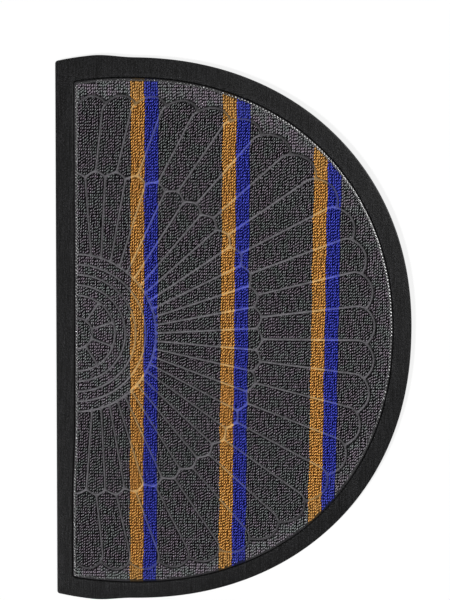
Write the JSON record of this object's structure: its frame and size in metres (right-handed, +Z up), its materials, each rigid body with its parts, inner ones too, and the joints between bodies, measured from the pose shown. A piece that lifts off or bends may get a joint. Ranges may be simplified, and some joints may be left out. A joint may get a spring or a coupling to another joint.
{
  "type": "doormat",
  "caption": "Half-round doormat: a low moulded rubber base with a plain raised border, and a striped loop pile carpet panel bedded in it, pressed with a fan of petals.",
  "frame": {"origin": "under the middle of the mat's box, on the floor", "axes": "+Z up, +X from the straight side towards the round nose, +Y along the straight side"},
  "size_m": [0.3936, 0.606, 0.0054],
  "materials": {
    "rubber": "smooth moulded, dull satin",
    "tufted_pile": "loop pile, charcoal with ochre and blue stripes"
  },
  "bodies": {
    "root": {"rubber_base": "rubber", "carpet": "tufted_pile"}
  },
  "joints": []
}
